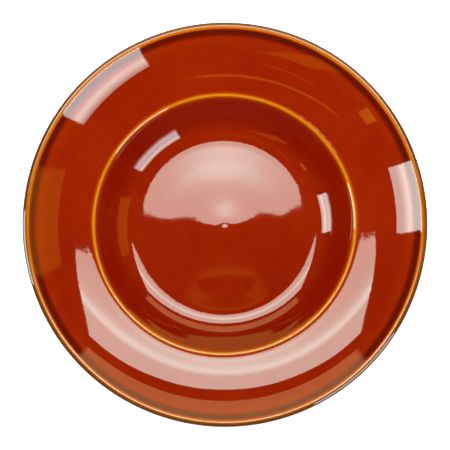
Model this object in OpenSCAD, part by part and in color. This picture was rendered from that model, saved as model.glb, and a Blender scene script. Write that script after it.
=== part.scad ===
// Shallow glazed stoneware dish with a deep round well, a broad rising rim and a turned foot ring.
// Units are millimetres, +Z is up. The origin is the centre of the foot ring's tread,
// so the dish stands on Z = 0.
//
// One fired clay body lies under a coat of honey-brown glaze, thin over the two crests and thick
// in the hollow inside the lip. Each layer is its own solid, and the layers meet face to face.
//
// The outer skin is a chain of smooth curves through stations. A station is
// [radius, height, heading], the heading being the direction of travel in degrees: from the centre
// of the well, over the lip, down the outside, round the foot ring and in to the recess's centre.

/* [Dish] */
// Outside diameter over the lip
outer_d = 230; // [215:1:245]
// Overall height from the tread to the crest of the lip
height = 42; // [40:0.5:46]

/* [Well] */
// Diameter of the level part of the well's floor
floor_d = 97; // [92:0.2:100]
// Height of the well's floor above the tread
floor_z = 9.3; // [9:0.1:10]
// Diameter at which the well's wall turns over into the rim
edge_d = 150; // [146:0.2:154]
// Height of that edge above the tread
edge_z = 28; // [27:0.1:29]

/* [Foot ring] */
// Diameter across the outer edge of the tread
foot_d = 116.6; // [112:0.2:118]
// Width of the bare flat tread
tread_w = 4.6; // [4:0.1:6]
// Height of the outer glaze line above the tread
line_out = 2.4; // [2:0.1:2.8]
// Height of the inner glaze line above the tread
line_in = 1.8; // [1.5:0.1:2.1]

/* [Glaze] */
// Thickness of the glaze on plain slopes
coat_t = 0.45; // [0.4:0.01:0.6]
// Thickness left on the two crests
crest_t = 0.12; // [0.1:0.01:0.2]
// Thickness where the glaze pools inside the lip
pool_t = 0.9; // [0.7:0.05:1]

/* [Hidden] */
turn_fn = 180;

// ---- Stations ----

// The well, rim and underside are drawn for a dish of this diameter, then stretched.
drawn_d = 230;
radius_map = [[0, 0], [48.5, floor_d / 2], [75, edge_d / 2], [drawn_d / 2, outer_d / 2]];
height_map = [[0, 0], [9.3, floor_z], [28, edge_z], [42, height]];

// Face of the well: a barely crowned floor, a cove and a steep wall.
well_stations = [
    [0, 9.5, 0], [4, 9.49, -0.5], [9, 9.42, -1.1], [15, 9.32, -0.7], [22, 9.3, 0.25],
    [30, 9.34, 0], [37, 9.32, -0.2], [42, 9.34, 0.6], [47.3, 9.41, 1.1], [49.1, 9.46, 2.6],
    [50, 9.51, 3.35], [51.2, 9.58, 3.7], [52.4, 9.67, 4.6], [53.4, 9.76, 6.3], [55, 9.99, 9.9],
    [56.6, 10.34, 15.2], [58.2, 10.89, 23.3], [60.7, 12.33, 36.6], [64.3, 15.7, 48.8],
    [68.9, 21.03, 49.6], [73.1, 26.08, 50.9]
];
// The rounded edge where the wall turns over, and the rim that rises ever more steeply to the lip.
rim_stations = [
    [73.95, 27.23, 50], [74.42, 27.69, 38], [74.75, 27.89, 24], [74.95, 27.95, 12],
    [75.15, 27.99, 5.6], [76.7, 28.15, 6], [77.6, 28.26, 8.1], [79, 28.48, 9.9],
    [81.6, 28.89, 8.6], [83.6, 29.22, 9.9], [87, 29.85, 11.4], [90.8, 30.71, 14.1],
    [94.75, 31.83, 17.6], [99.7, 33.72, 24.2], [105.4, 36.83, 33], [108.5, 39.13, 40],
    [110.6, 41.02, 44], [111.1, 41.45, 34], [111.75, 41.78, 18]
];
// The crest of the lip, its rounded outer flank and the underside of the rim.
under_stations = [
    [113.1, 42, 0], [114.25, 41.44, -52], [115, 39.26, -90], [114.2, 37, -132],
    [108.3, 32.4, -148], [101.9, 29, -156.5], [92, 25.6, -167], [85, 24.2, -170],
    [79.6, 22.6, -156], [75.3, 19.3, -128], [70, 12.9, -132], [65.8, 8.6, -141], [61.6, 5.9, -157]
];
// The outside of the foot ring, the tread, the inside of the ring and the recess under the floor.
foot_r = foot_d / 2;
tread_in_r = foot_r - tread_w;
foot_stations = [
    [foot_r + 1.7, 4.3, -105],
    [foot_r + 1.3, line_out, -100],
    [foot_r + 0.9, 0.9, -102],
    [foot_r, 0, -180],
    [tread_in_r, 0, -180],
    [tread_in_r - 0.8, 0.8, -260],
    [tread_in_r - 1, line_in, -262],
    [tread_in_r - 2.5, 3.35, -184],
    [tread_in_r * 0.56, 4.1, -181.5],
    [0, 4.3, -180]
];

// Maps a drawn station to the chosen sizes; its heading follows the local stretch of each axis.
function stretched(station) =
    let (r = station[0], z = station[1], heading = station[2],
         reach = 0.05, r_low = max(0, r - reach), r_high = r + reach,
         r_scale = (lookup(r_high, radius_map) - lookup(r_low, radius_map)) / (r_high - r_low),
         z_scale = (lookup(z + reach, height_map) - lookup(z - reach, height_map)) / (2 * reach),
         angle = atan2(z_scale * sin(heading), r_scale * cos(heading)))
    [lookup(r, radius_map), lookup(z, height_map), angle + 360 * round((heading - angle) / 360)];

drawn_stations = concat(well_stations, rim_stations, under_stations);
stations = concat([for (station = drawn_stations) stretched(station)], foot_stations);

// Numbers of the stations that bound the glaze's zones.
crest_no = len(well_stations) + len(rim_stations);
foot_no = len(drawn_stations);
line_out_no = foot_no + 1;
line_in_no = foot_no + 6;
last_no = len(stations) - 1;

// ---- Skin ----

// Point and heading at fraction t of a cubic curve from one station to the next.
// The curve is close to a circular arc when the two headings allow one.
function bend(from, to, t) =
    let (turn = to[2] - from[2],
         pull = norm([to[0] - from[0], to[1] - from[1]]) / pow(cos(turn / 4), 2),
         from_share = (1 + 2 * t) * pow(1 - t, 2),
         to_share = t * t * (3 - 2 * t),
         from_pull = t * pow(1 - t, 2) * pull,
         to_pull = t * t * (t - 1) * pull)
    [from_share * from[0] + from_pull * cos(from[2]) + to_share * to[0] + to_pull * cos(to[2]),
     from_share * from[1] + from_pull * sin(from[2]) + to_share * to[1] + to_pull * sin(to[2]),
     from[2] + turn * t];

// Steps between two stations: at least two, unless the run is straight as on the flat tread.
step_angle = 9;
step_length = 4;
function steps(from, to) =
    let (turn = abs(to[2] - from[2]), span = norm([to[0] - from[0], to[1] - from[1]]))
    turn == 0 ? 1 : max(2, ceil(turn / step_angle), ceil(span / step_length));

// The whole outer skin as [radius, height, heading, station number].
skin = concat(
    [for (i = [0 : last_no - 1])
        let (count = steps(stations[i], stations[i + 1]))
        for (k = [0 : count - 1])
            concat(bend(stations[i], stations[i + 1], k / count), [i + k / count])],
    [concat(stations[last_no], [last_no])]);

// ---- Glaze thickness ----

// Across the face, as [drawn radius, thickness]: thin on the well's edge, pooled inside the lip.
face_glaze = [
    [0, coat_t], [48, coat_t], [54, coat_t * 1.1], [60, coat_t * 1.1], [70, coat_t],
    [73.2, coat_t * 0.6], [75, crest_t], [76.6, coat_t * 0.7], [79, coat_t], [98, coat_t],
    [104.5, coat_t * 0.85], [106.4, coat_t], [109, pool_t], [110.4, coat_t * 1.4],
    [111.6, coat_t * 0.5], [113.1, crest_t]
];
// Down the outside, as [stations past the lip's crest, thickness].
under_glaze = [[0, crest_t], [1, coat_t * 0.6], [3, coat_t], [20, coat_t * 1.1]];

// Share of full thickness in the rounded roll that ends the glaze, by stations from its line.
roll_length = 0.8;
function roll(distance) = sqrt(1 - pow(1 - min(1, distance / roll_length), 2));

function glaze_t(point) =
    let (number = point[3])
    number <= crest_no ? lookup(point[0] * drawn_d / outer_d, face_glaze)
    : number <= foot_no ? lookup(number - crest_no, under_glaze)
    : number < line_out_no ? coat_t * 1.1 * roll(line_out_no - number)
    : number > line_in_no ? coat_t * roll(number - line_in_no)
    : 0;

// The clay surface under a skin point, offset inwards along the skin's normal.
function clay_at(point) =
    let (t = glaze_t(point), heading = point[2])
    [max(0, point[0] + t * sin(heading)), point[1] - t * cos(heading)];

// Section of the glaze between two station numbers: out along the skin, back along the clay.
// A glaze line, where the thickness is nothing, gives one point only.
function glaze_section(first, last) =
    let (run = [for (point = skin) if (point[3] >= first && point[3] <= last) point])
    concat([for (point = run) [point[0], point[1]]],
           [for (i = [len(run) - 1 : -1 : 0]) if (glaze_t(run[i]) > 0) clay_at(run[i])]);

// ---- Pieces ----

module turned(section) {
    rotate_extrude($fn = turn_fn)
        polygon(section);
}

// The fired clay: floor, wall, rim, lip and foot ring in one piece.
module clay_body() {
    color([0.86, 0.78, 0.66])
        turned([for (point = skin) clay_at(point)]);
}

// The coat that runs from the centre of the well over the lip and down to the outer glaze line.
module glaze_coat() {
    color([0.58, 0.2, 0.06])
        turned(glaze_section(0, line_out_no));
}

// The separate patch of glaze under the floor, inside the foot ring.
module foot_recess_glaze() {
    color([0.55, 0.22, 0.08])
        turned(glaze_section(line_in_no, last_no));
}

clay_body();
glaze_coat();
foot_recess_glaze();
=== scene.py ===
import math

import bpy
import numpy as np
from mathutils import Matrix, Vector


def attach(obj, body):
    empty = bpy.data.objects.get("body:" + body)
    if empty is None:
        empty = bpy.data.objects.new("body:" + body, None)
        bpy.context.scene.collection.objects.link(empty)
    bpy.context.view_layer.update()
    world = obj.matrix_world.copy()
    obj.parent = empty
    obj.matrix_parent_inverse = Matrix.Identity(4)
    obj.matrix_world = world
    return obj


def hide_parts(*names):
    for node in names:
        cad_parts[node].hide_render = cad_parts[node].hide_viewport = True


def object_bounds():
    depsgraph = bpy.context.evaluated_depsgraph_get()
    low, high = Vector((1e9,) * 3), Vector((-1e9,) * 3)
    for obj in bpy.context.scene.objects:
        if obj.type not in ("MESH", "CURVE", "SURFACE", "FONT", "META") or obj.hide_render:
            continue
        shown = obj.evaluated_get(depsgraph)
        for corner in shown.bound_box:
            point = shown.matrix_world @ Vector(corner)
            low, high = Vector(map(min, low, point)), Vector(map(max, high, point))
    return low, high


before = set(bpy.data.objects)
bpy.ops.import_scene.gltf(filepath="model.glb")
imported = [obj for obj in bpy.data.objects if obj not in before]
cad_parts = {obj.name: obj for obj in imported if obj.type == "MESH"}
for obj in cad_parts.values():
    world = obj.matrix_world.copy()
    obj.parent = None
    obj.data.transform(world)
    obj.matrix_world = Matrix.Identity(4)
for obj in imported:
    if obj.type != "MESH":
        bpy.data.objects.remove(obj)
CAD_LO, CAD_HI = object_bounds()
MM = 0.001                          # the section and the cards are drawn in mm, the scene is in metres
LIP = CAD_HI.z
CAD_RADIUS = (CAD_HI.x - CAD_LO.x) / 2
DISH_RADIUS = 115                   # mm, as drawn in the section
DISH_HEIGHT = 42
RADIUS_SCALE = CAD_RADIUS / (DISH_RADIUS * MM)
HEIGHT_SCALE = (CAD_HI.z - CAD_LO.z) / (DISH_HEIGHT * MM)
SEGMENTS = 336                      # points in each ring of the dish


# ---------------------------------------------------------------------------------------------------
# The section. Stations are [radius mm, height mm, heading deg], travelled from the centre of the well,
# over the lip, down the outside, round the foot ring and in to the centre of the recess.
# ---------------------------------------------------------------------------------------------------
COVE = [
    [50.0, 9.51, 3.4], [51.2, 9.583, 3.7], [52.4, 9.669, 4.6], [53.4, 9.764, 6.3], [55, 9.99, 9.9],
    [56.6, 10.34, 15.2], [58.2, 10.89, 23.3], [60.7, 12.33, 36.6], [64.3, 15.7, 48.8],
    [68.9, 21.03, 49.6], [73.1, 26.08, 50.9]]
# (radius mm, slope deg) of the well's floor. Heights follow inwards from the cove.
FLOOR = [
    (0, 0), (1.3, 0), (2.5, -0.15), (4.2, -0.7), (6, -1.4), (8, -1.75), (10, -1.6), (12.2, -1.2),
    (15, -0.6), (18.2, 0), (21, 0.25), (26, 0.3), (30, 0.05), (33.4, -0.38), (36.4, -0.5),
    (38, -0.1), (39.7, 0.48), (42, 0.9), (45, 1.05), (47.3, 1.2), (48.4, 1.7), (49.1, 2.6)]
RIM = [
    [73.95, 27.23, 50], [74.42, 27.69, 38], [74.75, 27.89, 24], [74.95, 27.95, 12],
    [75.15, 27.99, 5.6], [76.3, 28.105, 5.6], [76.85, 28.16, 6.0], [77.35, 28.22, 7.9],
    [78, 28.315, 8.4], [78.6, 28.405, 9.7], [79.1, 28.49, 9.9], [80, 28.64, 9.0], [81.6, 28.89, 8.6],
    [83.6, 29.22, 9.9], [85.2, 29.52, 10.4], [87, 29.865, 11.4], [90.8, 30.71, 14.1],
    [94.75, 31.83, 17.6], [99.7, 33.72, 24.2], [105.4, 36.83, 33], [108.5, 39.13, 40],
    [110.6, 41.02, 44], [111.1, 41.45, 34], [111.75, 41.78, 18]]
UNDER = [
    [113.1, DISH_HEIGHT, 0], [114.25, 41.44, -52], [DISH_RADIUS, 39.26, -90], [114.2, 37, -132],
    [108.3, 32.4, -148], [101.9, 29, -156.5], [92, 25.6, -167], [85, 24.2, -170], [79.6, 22.6, -156],
    [75.3, 19.3, -128], [70, 12.9, -132], [65.8, 8.6, -141], [61.6, 5.9, -157]]
FOOT = [
    [60.0, 4.3, -105], [59.6, 2.4, -100], [59.2, 0.9, -102], [58.3, 0, -180], [53.7, 0, -180],
    [52.9, 0.8, -260], [52.7, 1.8, -262], [51.2, 3.35, -184], [30.072, 4.1, -181.5], [0, 4.3, -180]]

WELL = [COVE[0]]
for radius, slope in reversed(FLOOR):
    next_radius, next_z, next_slope = WELL[0]
    fall = (next_radius - radius) * math.tan(math.radians((slope + next_slope) / 2))
    WELL.insert(0, [radius, next_z - fall, slope])
WELL += COVE[1:]
STATIONS = WELL + RIM + UNDER + FOOT

# Station numbers of the lip's crest, the foot, the glaze lines outside and inside it, and the end
CREST = len(WELL) + len(RIM)
FOOT_TOP = CREST + len(UNDER)
LINE_OUT = FOOT_TOP + 1
LINE_IN = FOOT_TOP + 6
END = len(STATIONS) - 1

DENSE_STEP = 0.02                   # mm between points of the first curve
STEP = 0.025                        # mm between points of the even, smoothed curve
DRIFT_REACH = 3.0                   # mm either way over which drift is averaged
SMOOTH_LEVELS = [0.05, 0.1, 0.2, 0.4, 0.8, 1.6, 2.4]       # mm, widths of smoothing to blend between
# (station number, width of smoothing in mm): narrow at the crests and the foot
SMOOTH_WIDTH = [
    (0, 0.4), (4, 0.5), (8, 0.9), (len(FLOOR) - 3, 0.7), (len(FLOOR), 0.6), (len(FLOOR) + 4, 0.7),
    (len(WELL) - 1, 0.35), (len(WELL), 0.2), (len(WELL) + 3, 0.1), (len(WELL) + 5, 0.1),
    (len(WELL) + 6, 0.18), (len(WELL) + 9, 0.3), (len(WELL) + 11, 0.4), (len(WELL) + 13, 1.0),
    (len(WELL) + 18, 1.6), (len(WELL) + 20, 0.8), (CREST - 1, 0.25), (CREST, 0.25),
    (CREST + 2, 0.4), (CREST + 4, 1.2), (FOOT_TOP - 2, 1.2), (FOOT_TOP - 1, 0.3), (FOOT_TOP, 0.1),
    (FOOT_TOP + 2, 0.1), (FOOT_TOP + 3, 0.05), (FOOT_TOP + 6, 0.08), (END, 1.0)]


def dense_section():
    """Hermite curves through the stations: points, and the fractional station number of each."""
    points, numbers = [], []
    for i, (p, q) in enumerate(zip(STATIONS[:-1], STATIONS[1:])):
        chord = math.hypot(q[0] - p[0], q[1] - p[1])
        pull = chord / math.cos(math.radians(q[2] - p[2]) / 4) ** 2
        count = max(8, int(chord / DENSE_STEP))
        t = np.arange(count) / count
        a, b = math.radians(p[2]), math.radians(q[2])
        h0, h1 = (1 + 2 * t) * (1 - t) ** 2, t * (1 - t) ** 2
        h2, h3 = t * t * (3 - 2 * t), t * t * (t - 1)
        x = h0 * p[0] + h1 * pull * math.cos(a) + h2 * q[0] + h3 * pull * math.cos(b)
        z = h0 * p[1] + h1 * pull * math.sin(a) + h2 * q[1] + h3 * pull * math.sin(b)
        points.append(np.stack([x, z], 1))
        numbers.append(i + t)
    points.append(np.array([STATIONS[-1][:2]], float))
    numbers.append(np.array([END], float))
    return np.concatenate(points), np.concatenate(numbers)


def smooth_heading(heading, numbers):
    """Smooths the heading by SMOOTH_WIDTH, blending between copies smoothed at each level."""
    width = np.interp(numbers, [k[0] for k in SMOOTH_WIDTH], [k[1] for k in SMOOTH_WIDTH])
    copies = []
    for level in SMOOTH_LEVELS:
        reach = int(4 * level / STEP)
        kernel = np.exp(-0.5 * (np.arange(-reach, reach + 1) * STEP / level) ** 2)
        kernel /= kernel.sum()
        padded = np.pad(heading, reach, mode="reflect", reflect_type="odd")
        copies.append(np.convolve(padded, kernel, mode="valid"))
    copies = np.array(copies)
    place_in = np.interp(np.log(width), np.log(SMOOTH_LEVELS), np.arange(len(SMOOTH_LEVELS)))
    lower = np.clip(place_in.astype(int), 0, len(SMOOTH_LEVELS) - 2)
    share = place_in - lower
    columns = np.arange(len(heading))
    return copies[lower, columns] * (1 - share) + copies[lower + 1, columns] * share


def smooth_section():
    """The section in even steps with its heading smoothed, so that curvature has no jumps."""
    dense, dense_numbers = dense_section()
    d = np.diff(dense, axis=0)
    dense_along = np.concatenate([[0], np.cumsum(np.hypot(d[:, 0], d[:, 1]))])
    along = np.arange(0, dense_along[-1], STEP)
    even = np.stack([np.interp(along, dense_along, dense[:, c]) for c in (0, 1)], 1)
    numbers = np.interp(along, dense_along, dense_numbers)
    d = np.diff(even, axis=0)
    heading = np.unwrap(np.arctan2(d[:, 1], d[:, 0]))
    heading = smooth_heading(heading, (numbers[1:] + numbers[:-1]) / 2)
    curve = np.zeros_like(even)
    curve[0] = even[0]
    curve[1:, 0] = even[0, 0] + np.cumsum(np.cos(heading)) * STEP
    curve[1:, 1] = even[0, 1] + np.cumsum(np.sin(heading)) * STEP
    # the small drift from smoothing is pulled back to the stations' own line
    drift = even - curve
    reach = int(DRIFT_REACH / STEP)
    kernel = np.hanning(2 * reach + 1)
    kernel /= kernel.sum()
    for c in (0, 1):
        padded = np.pad(drift[:, c], reach, mode="edge")
        curve[:, c] += np.convolve(padded, kernel, mode="valid")
    return curve, numbers, along


def smooth_lookup(x, keys):
    """Monotone cubic interpolation through (x, y) keys."""
    xs, ys = np.array(keys, float).T
    gap = np.diff(xs)
    slope = np.diff(ys) / gap
    tangent = np.zeros(len(xs))
    for i in range(1, len(xs) - 1):
        if slope[i - 1] * slope[i] > 0:
            w1, w2 = 2 * gap[i] + gap[i - 1], gap[i] + 2 * gap[i - 1]
            tangent[i] = (w1 + w2) / (w1 / slope[i - 1] + w2 / slope[i])
    tangent[0], tangent[-1] = slope[0], slope[-1]
    x = np.clip(x, xs[0], xs[-1])
    i = np.clip(np.searchsorted(xs, x) - 1, 0, len(gap) - 1)
    t = (x - xs[i]) / gap[i]
    return (ys[i] * (1 + 2 * t) * (1 - t) ** 2 + tangent[i] * gap[i] * t * (1 - t) ** 2
            + ys[i + 1] * t * t * (3 - 2 * t) + tangent[i + 1] * gap[i] * t * t * (t - 1))


SECTION, NUMBER, ALONG = smooth_section()
_step = np.gradient(SECTION, axis=0)
HEADING = np.unwrap(np.arctan2(_step[:, 1], _step[:, 0]))
NORMAL = np.stack([-np.sin(HEADING), np.cos(HEADING)], 1)
RADIUS = SECTION[:, 0]
FACE = NUMBER <= CREST              # the upper side, from the centre of the well to the lip's crest
PAST_CREST = NUMBER - CREST


# ---------------------------------------------------------------------------------------------------
# The glaze along the section. Face tables go by radius in mm, back tables by stations past the crest.
# ---------------------------------------------------------------------------------------------------
FACE_THICKNESS = [                  # mm
    (0, .45), (48, .45), (54, .5), (60, .5), (70, .45), (73.2, .27), (75.4, .12), (77, .32),
    (79, .45), (98, .45), (104.5, .38), (106.4, .45), (109, .9), (110.4, .63), (111.6, .22),
    (112.6, .12)]
OUTSIDE_THICKNESS = [(0, .12), (1, .27), (3, .45), (20, .5)]
FOOT_THICKNESS = 0.5
RECESS_THICKNESS = 0.45
ROLL_LENGTH = 0.8                   # stations over which the coat's edge rounds off at a glaze line

# Optical depth x, where each colour channel is clay * exp(-x * absorption)
FACE_DEPTH = [
    (0, 1.09), (48, 1.09), (60, 1.1), (64, 1.13), (70, 1.16), (72.5, 1.1), (73.6, .7), (74.4, .36),
    (75.0, .31), (75.6, .5), (76.4, .92), (78, 1.08), (90, 1.08), (100, 1.06), (104, 1.0),
    (106.4, .95), (107.8, 1.15), (109, 2.0), (109.8, 2.1), (110.6, 1.4), (111.2, .62), (111.7, .42),
    (112.4, .42), (113.1, .45)]
_foot, _out, _in, _end = (number - CREST for number in (FOOT_TOP, LINE_OUT, LINE_IN, END))
BACK_DEPTH = [
    (0, .45), (0.5, .5), (1.0, .62), (1.6, 1.0), (2.2, 1.3), (7, 1.2), (9, 1.2), (_foot, 1.25),
    (_out - .5, 1.9), (_out - .12, 1.2), (_out, .35), (_in, .35), (_in + .12, 1.3), (_in + .6, 1.9),
    (_in + 1, 1.2), (_end, 1.05)]

# Painted shade on the coat: 1 on the face, darker outside the lip where its flank faces away from the
# lights
FACE_PAINTED_SHADE = [(0, 1), (111.7, 1.0), (112.2, 0.86), (112.7, 0.62), (113.1, 0.46)]
BACK_PAINTED_SHADE = [(0, .46), (0.45, .34), (2.0, .36), (4.0, .8), (60, .8)]


def roll(u):
    """Quarter-circle edge: 0 at u = 0, 1 from u = 1."""
    return np.sqrt(np.clip(1 - (1 - np.clip(u, 0, 1)) ** 2, 0, 1))


def glaze_thickness():
    """Thickness in mm at each point of the section, 0 between the two glaze lines."""
    thickness = np.zeros(len(NUMBER))
    thickness[FACE] = smooth_lookup(RADIUS[FACE], FACE_THICKNESS)
    outside = ~FACE & (NUMBER <= FOOT_TOP)
    thickness[outside] = smooth_lookup(PAST_CREST[outside], OUTSIDE_THICKNESS)
    foot = (NUMBER > FOOT_TOP) & (NUMBER < LINE_OUT)
    thickness[foot] = FOOT_THICKNESS * roll((LINE_OUT - NUMBER[foot]) / ROLL_LENGTH)
    recess = NUMBER > LINE_IN
    thickness[recess] = RECESS_THICKNESS * roll((NUMBER[recess] - LINE_IN) / ROLL_LENGTH)
    return thickness


THICKNESS = glaze_thickness()
DEPTH = np.where(FACE, smooth_lookup(RADIUS, FACE_DEPTH), smooth_lookup(PAST_CREST, BACK_DEPTH))
# painted shade along the section, darker outside the lip
PAINTED_SHADE = np.where(FACE, smooth_lookup(RADIUS, FACE_PAINTED_SHADE), smooth_lookup(PAST_CREST, BACK_PAINTED_SHADE))


# ---------------------------------------------------------------------------------------------------
# The dish
# ---------------------------------------------------------------------------------------------------
TURN_PER_ROW = math.radians(3.0)    # bend of the section between rows
ROW_GAP_LIMITS = (0.16, 2.2)        # mm
# (from radius, to radius, largest gap between rows), mm, on the face
FACE_ROW_GAPS = [(-np.inf, 6, 0.3), (-np.inf, 52, 1.4), (73.5, 80.5, 0.24), (105, np.inf, 0.4),
                 (110, np.inf, 0.22)]

# The well is slightly off the lip's axis: (radius mm, offset mm) of the face
OFFSET_X = [(0, -0.1), (10, 0.1), (46, -0.73), (60, -0.73), (75.3, -0.40), (84, -0.12), (96, 0.0),
            (120, 0.0)]
OFFSET_Y = [(0, -1.0), (3, -0.8), (10, -0.4), (44, -0.9), (49, -1.1), (54, -0.8), (60, -0.75),
            (75.5, 0.33), (84, 0.1), (96, 0.0), (120, 0.0)]
WELL_EDGE = (75.5, 9.0)             # radius and width in mm of the band where the well's edge wavers
LIP_BAND = (106, 1.6)               # radius and softness in mm of where the lip starts to waver
EDGE_OVAL = (0.38, 0.15)            # mm, cosine and sine parts of the well edge's ovalness
PIP_X, PIP_Y, PIP_RADIUS, PIP_HEIGHT = -0.05, -1.15, 1.12, 0.16      # mm, bump in the well's centre


def row_gaps():
    """Wanted distance in mm between rows at each point of the section: closer where it bends."""
    bend = np.abs(np.gradient(HEADING, ALONG))
    bend = np.convolve(np.pad(bend, 12, mode="edge"), np.ones(25) / 25, mode="valid")
    gaps = np.clip(TURN_PER_ROW / np.maximum(bend, 1e-6), *ROW_GAP_LIMITS)
    for low, high, gap in FACE_ROW_GAPS:
        gaps = np.where(FACE & (RADIUS > low) & (RADIUS < high), np.minimum(gaps, gap), gaps)
    return gaps


ROW_GAPS = row_gaps()


def row_indices(start, stop, coarse=1.0):
    """Section indices of the rows between two station numbers. coarse multiplies their gaps."""
    first = int(np.searchsorted(NUMBER, start))
    last = min(int(np.searchsorted(NUMBER, stop)), len(NUMBER) - 1)
    rows_so_far = np.cumsum(STEP / (ROW_GAPS * coarse))
    a, b = rows_so_far[first], rows_so_far[last]
    count = max(2, int(round(b - a)))
    rows = np.searchsorted(rows_so_far, a + (b - a) * np.arange(count + 1) / count)
    rows = np.clip(rows, first, last)
    rows[0], rows[-1] = first, last
    return np.unique(rows)


def wander(phi, seed, orders, size):
    """A slow closed wave round the dish, with fixed phases."""
    wave = np.zeros_like(phi)
    for k, order in enumerate(orders):
        phase = (seed * 2.399963 + k * 1.7 + seed * seed * 0.37) % (2 * math.pi)
        strength = math.sin(seed * 1.3 + k * 2.1 + 0.8)
        wave += strength * np.sin(order * phi + phase) / (1 + 0.35 * k)
    return wave * size


def place(radius, z, phi, on_face):
    """Turns section points into x, y, z in mm, with the small unevenness of a thrown dish."""
    edge = np.exp(-((radius - WELL_EDGE[0]) / WELL_EDGE[1]) ** 2) * on_face
    lip = 1 / (1 + np.exp(-(radius - LIP_BAND[0]) / LIP_BAND[1]))
    spread = edge * (EDGE_OVAL[0] * np.cos(2 * phi) + EDGE_OVAL[1] * np.sin(2 * phi)
                     + wander(phi, seed=3, orders=[3, 5, 7], size=0.07))
    spread = spread + lip * wander(phi, seed=8, orders=[2, 3, 5, 8], size=0.02)
    radius_here = np.maximum(radius + spread, 0)
    x = radius_here * np.cos(phi) + smooth_lookup(radius, OFFSET_X) * on_face
    y = radius_here * np.sin(phi) + smooth_lookup(radius, OFFSET_Y) * on_face
    z = z + edge * wander(phi, seed=11, orders=[2, 3, 5], size=0.05)
    if on_face:
        pip = ((x - PIP_X) ** 2 + (y - PIP_Y) ** 2) / PIP_RADIUS ** 2
        z = z + PIP_HEIGHT * np.exp(-pip ** 1.4)
    return x, y, z


def new_object(name, points, faces):
    mesh = bpy.data.meshes.new(name)
    mesh.from_pydata(points, [], faces)
    mesh.update()
    ob = bpy.data.objects.new(name, mesh)
    bpy.context.scene.collection.objects.link(ob)
    return ob


def join_rings(a, b):
    """Faces between two rings of point indices. Either ring may be a single point."""
    following = [(j, (j + 1) % SEGMENTS) for j in range(SEGMENTS)]
    if len(a) == 1 and len(b) == 1:
        return []
    if len(a) == 1:
        return [(a[0], b[j], b[k]) for j, k in following]
    if len(b) == 1:
        return [(a[k], a[j], b[0]) for j, k in following]
    return [(a[j], b[j], b[k], a[k]) for j, k in following]


def lathe(name, rows):
    """A mesh of revolution from (radius, z, depth, painted shade, on_face) rows. Radius 0 makes one
    point.
    """
    around = np.arange(SEGMENTS) * 2 * math.pi / SEGMENTS
    points, faces, depths, painted_shades = [], [], [], []
    previous = None
    for radius, z, depth, painted_shade, on_face in rows:
        phi = np.array([0.0]) if radius < 1e-6 else around
        count = len(phi)
        ring = list(range(len(points), len(points) + count))
        points.extend(zip(*place(np.full(count, radius), np.full(count, z), phi, on_face)))
        depths.extend([depth] * count)
        painted_shades.extend([painted_shade] * count)
        if previous is not None:
            faces += join_rings(previous, ring)
        previous = ring
    points = np.array(points, float)
    points[:, :2] *= MM * RADIUS_SCALE
    points[:, 2] *= MM * HEIGHT_SCALE
    ob = new_object(name, points.tolist(), faces)
    mesh = ob.data
    mesh.validate()
    # glaze_depth is the glaze's own colour; the second attribute is painted shade, darker outside the
    # lip
    for attribute, values in (("glaze_depth", depths), ("glaze_painted_shade", painted_shades)):
        data = mesh.attributes.new(attribute, "FLOAT", "POINT").data
        data.foreach_set("value", np.array(values, np.float32))
    mesh.polygons.foreach_set("use_smooth", np.ones(len(mesh.polygons), bool))
    mesh.update()
    return ob


def lathe_rows(indices, on_clay=False):
    """Section points as lathe rows, on the glaze's skin or on the clay under it."""
    rows = []
    for i in indices:
        radius, z = SECTION[i]
        if on_clay:
            radius, z = SECTION[i] - NORMAL[i] * THICKNESS[i]
        if i in (0, len(SECTION) - 1):
            radius = 0.0
        rows.append((max(radius, 0.0), z, DEPTH[i], PAINTED_SHADE[i], bool(FACE[i])))
    return rows


def build_coat():
    """Out along the skin to the outer glaze line, then back along the clay."""
    skin = row_indices(0, LINE_OUT)
    clay = row_indices(0, LINE_OUT, coarse=5.5)[:-1][::-1]
    return lathe("glaze_coat_skin", lathe_rows(skin) + lathe_rows(clay, on_clay=True))


def build_recess():
    """In along the skin to the centre, back along the clay, and closed at the inner glaze line."""
    skin = row_indices(LINE_IN, END)
    clay = row_indices(LINE_IN, END, coarse=2.5)[::-1]
    return lathe("foot_recess_glaze_skin", lathe_rows(skin) + lathe_rows(clay[:-1], on_clay=True)
                 + lathe_rows(skin[:1]))


def build_body():
    rows = np.unique(np.concatenate([
        row_indices(0, LINE_OUT, coarse=2.2), row_indices(LINE_OUT, LINE_IN, coarse=0.6),
        row_indices(LINE_IN, END, coarse=2.5)]))
    return lathe("clay_body_form", lathe_rows(rows, on_clay=True))


coat = build_coat()
recess = build_recess()
body = build_body()
for piece, cad_node, slot in ((coat, "glaze_coat", "amber_glaze"),
                              (recess, "foot_recess_glaze", "amber_glaze"),
                              (body, "clay_body", "clay")):
    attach(piece, "root")
    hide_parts(cad_node)


# ---------------------------------------------------------------------------------------------------
# Shader tools
# ---------------------------------------------------------------------------------------------------
class Value:
    """An output socket that takes part in arithmetic. Each operation adds one Math node."""

    def __init__(self, nodes, socket):
        self.nodes, self.socket = nodes, socket

    def __add__(self, other):
        return self.nodes.math("ADD", self, other)

    def __radd__(self, other):
        return self.nodes.math("ADD", other, self)

    def __sub__(self, other):
        return self.nodes.math("SUBTRACT", self, other)

    def __rsub__(self, other):
        return self.nodes.math("SUBTRACT", other, self)

    def __mul__(self, other):
        return self.nodes.math("MULTIPLY", self, other)

    def __truediv__(self, other):
        return self.nodes.math("DIVIDE", self, other)

    def __rtruediv__(self, other):
        return self.nodes.math("DIVIDE", other, self)


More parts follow.
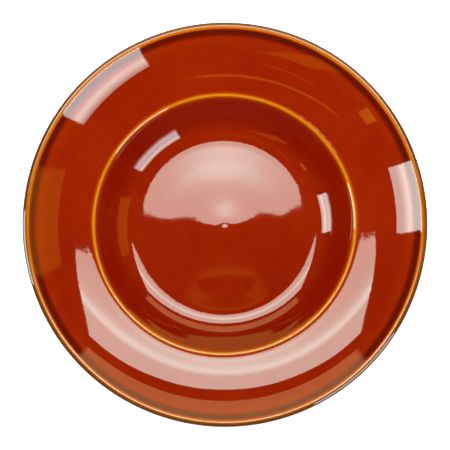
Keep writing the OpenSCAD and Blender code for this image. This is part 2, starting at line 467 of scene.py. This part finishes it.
class Nodes:
    """The emptied node tree of a material or world, with short ways to fill it."""

    def __init__(self, owner):
        self.owner = owner
        owner.use_nodes = True
        self.tree = owner.node_tree
        self.tree.nodes.clear()

    def node(self, kind, inputs=None, **settings):
        node = self.tree.nodes.new(kind)
        for key, setting in settings.items():
            setattr(node, key, setting)
        for key, source in (inputs or {}).items():
            if isinstance(source, Value):
                self.tree.links.new(source.socket, node.inputs[key])
            else:
                node.inputs[key].default_value = source
        return node

    def value(self, kind, output=0, inputs=None, **settings):
        return Value(self, self.node(kind, inputs, **settings).outputs[output])

    def math(self, operation, *terms):
        return self.value("ShaderNodeMath", 0, dict(enumerate(terms)), operation=operation)

    def noise(self, vector, scale, detail, rough):
        return self.value("ShaderNodeTexNoise", "Fac", {
            "Vector": vector, "Scale": scale, "Detail": detail, "Roughness": rough})

    def position(self):
        return self.value("ShaderNodeTexCoord", "Object")

    def geometry(self, output):
        return self.value("ShaderNodeNewGeometry", output)

    def attribute(self, name, output="Fac"):
        return self.value("ShaderNodeAttribute", output, attribute_name=name)

    def ray(self, output):
        return self.value("ShaderNodeLightPath", output)

    def split(self, vector):
        node = self.node("ShaderNodeSeparateXYZ", {0: vector})
        return [Value(self, socket) for socket in node.outputs]

    def colour(self, rgb):
        return self.value("ShaderNodeCombineColor", 0, dict(enumerate(rgb)))

    def rise(self, value, low, high):
        """A soft step from 0 at low to 1 at high."""
        return self.value("ShaderNodeMapRange", "Result", {
            "Value": value, "From Min": low, "From Max": high}, interpolation_type="SMOOTHSTEP")

    def bell(self, value, centre, width):
        """exp(-((value - centre) / width)^2)."""
        d = (value - centre) / width
        return self.math("EXPONENT", d * d * -1.0)

    def twice(self):
        """1 for light seen after two or more mirror bounces, else 0."""
        return self.math("GREATER_THAN", self.ray("Glossy Depth"), 1.5)

    def bump(self, height, strength, distance):
        return self.value("ShaderNodeBump", 0, {
            "Strength": strength, "Distance": distance, "Height": height})

    def finish(self, shader, kind="ShaderNodeOutputMaterial"):
        self.node(kind, {"Surface": shader})
        return self.owner


def new_material(name):
    return Nodes(bpy.data.materials.new(name))


# ---------------------------------------------------------------------------------------------------
# Materials
# ---------------------------------------------------------------------------------------------------
GLAZE_IOR = 1.5
# Red, green, blue: (absorption, colour of the clay beneath, cloudiness of deep pools)
GLAZE_CHANNELS = [(1.0, 0.544, 0.006), (3.72, 0.49, 0.0050), (14.0, 0.41, 0.0014)]


def glaze_path(m):
    """How squarely the look meets the surface: the absolute cosine between the normal and the incoming
    ray.
    """
    facing = m.value("ShaderNodeVectorMath", "Value", {
        0: m.geometry("Normal"), 1: m.geometry("Incoming")}, operation="DOT_PRODUCT")
    return m.math("ABSOLUTE", facing)


def glaze_material(name, seed):
    """Clay seen through coloured glass, darkened outside the lip by painted shade. seed shifts the
    mottling.
    """
    m = new_material(name)
    vector = m.value("ShaderNodeMapping", 0, {
        "Vector": m.position(), "Location": (seed * 0.13, seed * 0.07, seed * 0.05)})
    depth = m.attribute("glaze_depth")
    painted_shade = m.attribute("glaze_painted_shade")

    # slow clouding of the coat, then finer mottling, each with its share of the depth
    clouds = m.noise(vector, scale=22, detail=2.0, rough=0.5)
    mottle = m.noise(vector, scale=120, detail=3.0, rough=0.55)
    specks = m.noise(vector, scale=900, detail=2.0, rough=0.6)
    uneven = (clouds - 0.5) * 0.22 + (mottle - 0.5) * 0.14 + (specks - 0.5) * 0.08
    depth = depth * (uneven + 1.0)

    # a slanted look passes through more glaze: 1/cos of the refracted angle, at a 0.55 share
    geometry = m.node("ShaderNodeNewGeometry")
    facing = m.math("ABSOLUTE", m.value("ShaderNodeVectorMath", "Value", {
        0: Value(m, geometry.outputs["Normal"]), 1: Value(m, geometry.outputs["Incoming"])},
        operation="DOT_PRODUCT"))
    sine_squared = 1.0 - facing * facing
    refracted_cosine = m.math("SQRT", 1.0 - sine_squared / GLAZE_IOR ** 2)
    depth = depth * (0.45 + 0.55 / refracted_cosine)

    pool = m.rise(depth, low=1.3, high=1.9)
    # each channel is multiplied by the painted shade, which darkens the coat outside the lip
    rgb = []
    for absorption, clay, cloud in GLAZE_CHANNELS:
        through = m.math("EXPONENT", depth * -absorption) * clay
        rgb.append((through + pool * cloud) * painted_shade)

    # the surface is never quite level: fine ripples, and broader ones 1.6 times as high
    ripples = (m.noise(vector, scale=260, detail=1.0, rough=0.4) * 1.0
               + m.noise(vector, scale=70, detail=1.0, rough=0.4) * 1.6)
    return m.finish(m.value("ShaderNodeBsdfPrincipled", 0, {
        "Base Color": m.colour(rgb),
        "IOR": GLAZE_IOR,
        "Roughness": 0.016 + m.noise(vector, scale=60, detail=3.0, rough=0.5) * 0.016,
        # mirror images of mirror images show a little more strongly
        "Specular IOR Level": 0.5 + m.ray("Is Glossy Ray") * 0.15,
        "Normal": m.bump(ripples, strength=1.0, distance=0.000006)}))


def clay_material():
    m = new_material("bare_clay")
    position = m.position()
    clouds = m.noise(position, scale=35, detail=3.0, rough=0.6)
    grit = m.noise(position, scale=1500, detail=3.0, rough=0.65)
    ramp = m.node("ShaderNodeValToRGB", {0: clouds * 0.55 + grit * 0.45})
    dark, pale = ramp.color_ramp.elements
    dark.position, pale.position = 0.3, 0.7
    dark.color = (0.60, 0.47, 0.33, 1)
    pale.color = (0.82, 0.72, 0.57, 1)
    return m.finish(m.value("ShaderNodeBsdfPrincipled", 0, {
        "Base Color": Value(m, ramp.outputs[0]),
        "Roughness": 0.86,
        "Normal": m.bump(grit, strength=0.6, distance=0.0001)}))


coat.data.materials.append(glaze_material("amber_glaze", seed=1.0))
recess.data.materials.append(glaze_material("amber_glaze_under", seed=2.0))
body.data.materials.append(clay_material())


# ---------------------------------------------------------------------------------------------------
# Glowing cards: softboxes and dull warm shapes for the glaze to mirror. Their glow functions return
# red, green and blue strengths. v runs from a card's start edge to its stop edge. x, y and z are in
# metres in the scene.
# ---------------------------------------------------------------------------------------------------
CARD_COLUMNS, CARD_ROWS = 24, 16


def card(name, start, stop, glow, start_z=600, stop_z=600, fade=(0.02, 0.02, 0.02, 0.02),
         mirror=True, light=False):
    """A card between two polylines of (x, y) in mm, with as many points each, at heights in mm above
    the lip. fade is the soft share at its start edge, its stop edge, and the polylines' first and
    last ends. The glaze mirrors it if mirror is true, and it gives diffuse light if light is true."""
    start = np.array([(x, y, start_z) for x, y in start], float)
    stop = np.array([(x, y, stop_z) for x, y in stop], float)
    shares = np.linspace(0, 1, len(start))
    points, faces, uvs = [], [], []
    for j in range(CARD_ROWS + 1):
        for i in range(CARD_COLUMNS + 1):
            u, v = i / CARD_COLUMNS, j / CARD_ROWS
            a = np.array([np.interp(u, shares, start[:, c]) for c in range(3)])
            b = np.array([np.interp(u, shares, stop[:, c]) for c in range(3)])
            x, y, z = a * (1 - v) + b * v
            points.append((x * MM, y * MM, z * MM + LIP))
            uvs.append((u, v, 0))
    for j in range(CARD_ROWS):
        for i in range(CARD_COLUMNS):
            a = j * (CARD_COLUMNS + 1) + i
            faces.append((a, a + 1, a + CARD_COLUMNS + 2, a + CARD_COLUMNS + 1))
    ob = new_object(name, points, faces)
    attribute = ob.data.attributes.new("card_uv", "FLOAT_VECTOR", "POINT")
    attribute.data.foreach_set("vector", np.array(uvs, np.float32).ravel())
    ob.visible_camera = False
    ob.visible_shadow = False
    ob.visible_glossy, ob.visible_diffuse = mirror, light

    m = new_material(name)
    u, v, _ = m.split(m.attribute("card_uv", "Vector"))
    mask = m.rise(v, 0.0, fade[0]) * m.rise(1.0 - v, 0.0, fade[1])
    mask = mask * m.rise(u, 0.0, fade[2])
    mask = mask * m.rise(1.0 - u, 0.0, fade[3])
    emission = m.value("ShaderNodeEmission", 0, {"Color": m.colour(glow(m, v)), "Strength": 1.0})
    clear = m.value("ShaderNodeBsdfTransparent")
    mixed = m.value("ShaderNodeMixShader", 0, {0: mask, 1: clear, 2: emission})
    ob.data.materials.append(m.finish(mixed))


def flat_glow(red, green, blue):
    return lambda m, v: (red, green, blue)


def top_glow(m, v):
    """An even glow, warmer towards the dish, with a slanted hot bar and a hot spot."""
    x, y, _ = m.split(m.position())
    up = m.rise(y, low=0.042, high=0.088)
    base = 7.5 + up * 1.1
    bar_y = y - x * 0.05
    past = m.math("GREATER_THAN", bar_y, 0.108)
    width = 0.019 - past * 0.002          # the bar falls off faster on its far side
    bar = m.bell(bar_y, centre=0.106, width=width) * 5.9
    spot = m.bell(x, centre=0.0, width=0.035) * m.bell(y, centre=0.077, width=0.015) * 3.2
    hot = bar + spot
    seen = 1.0 - m.twice() * 0.9          # second mirror images are dimmed
    base, hot = base * seen, hot * seen
    warm = 1.12 - up * 0.12
    blue = 0.82 + up * 0.03
    return base * warm + hot * 0.62, base + hot, base * blue + hot * 0.95


def left_glow(m, v):
    """Hottest at z = 0.33 and again low down; doubled in second mirror images."""
    _, _, z = m.split(m.position())
    glow = 8.6 + m.bell(z, centre=0.330, width=0.090) * 7.5
    glow = glow + m.rise(v, low=0.60, high=0.85) * 2.8
    glow = glow * (1.0 + m.twice())
    return glow * 0.90, glow, glow * 0.92


def right_glow(m, v):
    """Dimmer at the top, hottest at z = 0.435, bluer low down; doubled in second mirror images."""
    _, _, z = m.split(m.position())
    glow = 8.6 - m.rise(z, low=0.52, high=0.63) * 3.6
    glow = glow + m.bell(z, centre=0.435, width=0.075) * 4.6
    glow = glow * (1.0 + m.twice())
    low = m.rise(v, low=0.35, high=0.7)
    return glow * (0.94 - low * 0.01), glow, glow * (0.88 + low * 0.14)


def back_glow(m, v):
    """Duller and rosier near the table, except in second mirror images."""
    low = m.rise(v, low=0.80, high=0.90)
    low = low - m.twice() * 1.6
    return 3.3 - low * 0.7, 1.9 - low * 0.55, 0.75 + low * 0.1


def ring_glow(m, v):
    """A faint warm arch, shown mostly to rays from its near side, as through a louvre."""
    x, y, _ = m.split(m.position())
    across = (x - 0.003) / 0.033
    arch = y + 0.0145 + across * across * 0.0165
    ring = m.bell(arch, centre=0.0, width=0.0075) * m.bell(across, centre=0.0, width=1.25)
    _, incoming_y, _ = m.split(m.geometry("Incoming"))
    side = m.math("ABSOLUTE", x) * 0.7 - incoming_y
    ring = ring * m.rise(side, low=0.015, high=0.025)
    # (strength of the arch, haze round it) for red, green and blue
    return [ring * strength + haze for strength, haze in ((1.2, 0.02), (0.52, 0.018), (0.03, 0.016))]


def add_cards():
    # softboxes: a fan overhead on the far side, then uprights at the left and the near right
    card("softbox_top",
         start=[(-99, 33), (-72, 33), (-43, 32.5), (0, 32.5), (38, 37), (76, 40), (110, 44)],
         stop=[(-352, 312), (-232, 317), (-110, 292), (0, 285), (110, 303), (235, 340), (392, 356)],
         glow=top_glow, fade=(0.012, 0.06, 0.02, 0.02))
    card("softbox_top_light", start=[(-105, 33), (125, 45)], stop=[(-350, 290), (385, 330)],
         glow=flat_glow(16.0, 16.0, 15.6), start_z=602, stop_z=602, mirror=False, light=True)
    card("softbox_left", start=[(-383, -100), (-383, 56)], stop=[(-383, -112), (-383, 33)],
         glow=left_glow, start_z=610, stop_z=-30, fade=(0.02, 0.03, 0.02, 0.02))
    card("softbox_right", start=[(212, -412), (344, -206)], stop=[(212, -412), (345, -205)],
         glow=right_glow, start_z=615, stop_z=50, fade=(0.02, 0.03, 0.02, 0.02))

    # dull warm shapes round the table that show faintly in the glaze
    card("warm_back", start=[(-520, 522), (620, 588)], stop=[(-520, 522), (620, 588)],
         glow=back_glow, stop_z=-30, fade=(0.04, 0.02, 0.04, 0.04))
    card("warm_right", start=[(275, -72), (275, 102)], stop=[(275, -72), (275, 102)],
         glow=flat_glow(1.45, 0.68, 0.055), stop_z=30, fade=(0.05, 0.02, 0.06, 0.06))
    card("warm_left", start=[(-338, -252), (-338, -200)], stop=[(-338, -252), (-338, -200)],
         glow=flat_glow(3.0, 1.35, 0.10), stop_z=330, fade=(0.04, 0.06, 0.1, 0.12))
    card("warm_bar", start=[(-115, -84), (28, -76)], stop=[(-115, -68), (28, -60)],
         glow=flat_glow(2.5, 1.2, 0.06), fade=(0.4, 0.4, 0.15, 0.15))
    card("warm_bar_far", start=[(-150, -202), (-50, -216)], stop=[(-150, -182), (-50, -196)],
         glow=flat_glow(1.7, 0.75, 0.05), fade=(0.4, 0.4, 0.15, 0.15))
    card("warm_near", start=[(-1250, -1450), (-950, -1650)], stop=[(-270, -430), (-55, -430)],
         glow=flat_glow(1.5, 0.62, 0.04), fade=(0.3, 0.03, 0.2, 0.2))
    card("warm_ring", start=[(-50, -54), (56, -54)], stop=[(-50, 2), (56, 2)],
         glow=ring_glow, start_z=598, stop_z=598, fade=(0.1, 0.1, 0.1, 0.1))


# ---------------------------------------------------------------------------------------------------
# Dome, floor, world and camera
# ---------------------------------------------------------------------------------------------------
DOME_RADIUS, DOME_COLUMNS, DOME_ROWS = 2.6, 32, 10
FLOOR_HALF, FLOOR_Z = 2.4, -0.0001

CAMERA_Y = -0.040                   # the camera stands a little to the near side
CAMERA_HEIGHT = 0.900               # above the lip
AIM_BELOW_LIP = 0.0027
SENSOR_WIDTH = 36.0
DISH_SHARE = 0.45                   # the dish's radius as a share of the frame's width
SHIFT_X, SHIFT_Y = 3.5556e-5, 0.00063333         # framing offsets, as shares of the frame's width


def add_dome():
    """Soft light from all round for diffuse rays, a little brighter low on the near side."""
    points, faces = [], []
    for j in range(DOME_ROWS + 1):
        for i in range(DOME_COLUMNS):
            up, turn = j / DOME_ROWS * math.pi / 2, i / DOME_COLUMNS * 2 * math.pi
            points.append((DOME_RADIUS * math.cos(up) * math.cos(turn),
                           DOME_RADIUS * math.cos(up) * math.sin(turn), DOME_RADIUS * math.sin(up)))
    for j in range(DOME_ROWS):
        a, b = j * DOME_COLUMNS, (j + 1) * DOME_COLUMNS
        for i in range(DOME_COLUMNS):
            k = (i + 1) % DOME_COLUMNS
            faces.append((a + i, b + i, b + k, a + k))
    dome = new_object("light_dome", points, faces)
    dome.visible_camera = dome.visible_glossy = False
    dome.visible_shadow = dome.visible_transmission = False
    m = new_material("light_dome")
    _, y, z = m.split(m.position())
    low = 1.0 - z / DOME_RADIUS
    near = y * (-0.9 / DOME_RADIUS) * low
    emission = m.value("ShaderNodeEmission", 0, {"Strength": (near + 1.0) * 0.75})
    dome.data.materials.append(m.finish(emission))


def add_floor():
    corners = [(x * FLOOR_HALF, y * FLOOR_HALF, FLOOR_Z)
               for x, y in ((-1, -1), (1, -1), (1, 1), (-1, 1))]
    floor = new_object("pale_floor", corners, [(0, 1, 2, 3)])
    m = new_material("pale_floor")
    rays = m.node("ShaderNodeLightPath")
    camera_ray = Value(m, rays.outputs["Is Camera Ray"])
    glossy_ray = Value(m, rays.outputs["Is Glossy Ray"])
    distance = m.value("ShaderNodeVectorMath", "Value", {0: m.position()}, operation="LENGTH")
    # the table beyond the dish is dark to the glaze, as it would be with black flags round it
    far_off = m.rise(distance, low=0.17, high=0.32)
    mirrored = 0.55 - far_off * 0.52
    plain = 0.6 + camera_ray * 0.3
    shade = plain * (1.0 - glossy_ray) + mirrored * glossy_ray
    diffuse = m.value("ShaderNodeBsdfDiffuse", 0, {"Color": m.colour([shade] * 3)})
    # lifts what the camera sees to clean white
    lift = m.value("ShaderNodeEmission", 0, {"Strength": m.ray("Is Camera Ray") * 0.7})
    both = m.value("ShaderNodeAddShader", 0, {0: diffuse, 1: lift})
    floor.data.materials.append(m.finish(both))


def add_world():
    """White to the camera, nearly black to everything else."""
    world = bpy.data.worlds.new("studio")
    bpy.context.scene.world = world
    m = Nodes(world)
    colour = m.value("ShaderNodeMix", "Result", {
        "A": (0.02, 0.018, 0.016, 1), "B": (1.0, 1.0, 1.0, 1),
        "Factor": m.ray("Is Camera Ray")}, data_type="RGBA")
    m.finish(m.value("ShaderNodeBackground", 0, {"Color": colour}), "ShaderNodeOutputWorld")


def add_camera():
    """Above the dish, tilted to its centre, with the lens set so the dish fills its share."""
    data = bpy.data.cameras.new("camera")
    camera = bpy.data.objects.new("camera", data)
    bpy.context.scene.collection.objects.link(camera)
    rise = CAMERA_HEIGHT + AIM_BELOW_LIP
    distance = math.hypot(CAMERA_Y, rise)
    tilt = math.atan2(-CAMERA_Y, rise)
    camera.location = (0, CAMERA_Y, LIP + CAMERA_HEIGHT)
    camera.rotation_euler = (tilt, 0, 0)
    # the near half of the dish looks larger than the far half; the shift evens them out
    reach = DISH_SHARE * distance * math.cos(tilt)
    far_share = reach / (distance + CAD_RADIUS * math.sin(tilt))
    near_share = reach / (distance - CAD_RADIUS * math.sin(tilt))
    data.sensor_width = SENSOR_WIDTH
    data.lens = SENSOR_WIDTH * DISH_SHARE * distance / CAD_RADIUS
    data.shift_x = SHIFT_X
    data.shift_y = -(SHIFT_Y + (near_share - far_share) / 2)
    data.clip_start, data.clip_end = 0.01, 50
    bpy.context.scene.camera = camera


add_cards()
add_dome()
add_floor()
add_world()
add_camera()

view = bpy.context.scene.view_settings
view.view_transform = "Standard"
view.look = "None"
view.exposure = 0.0
view.gamma = 1.0
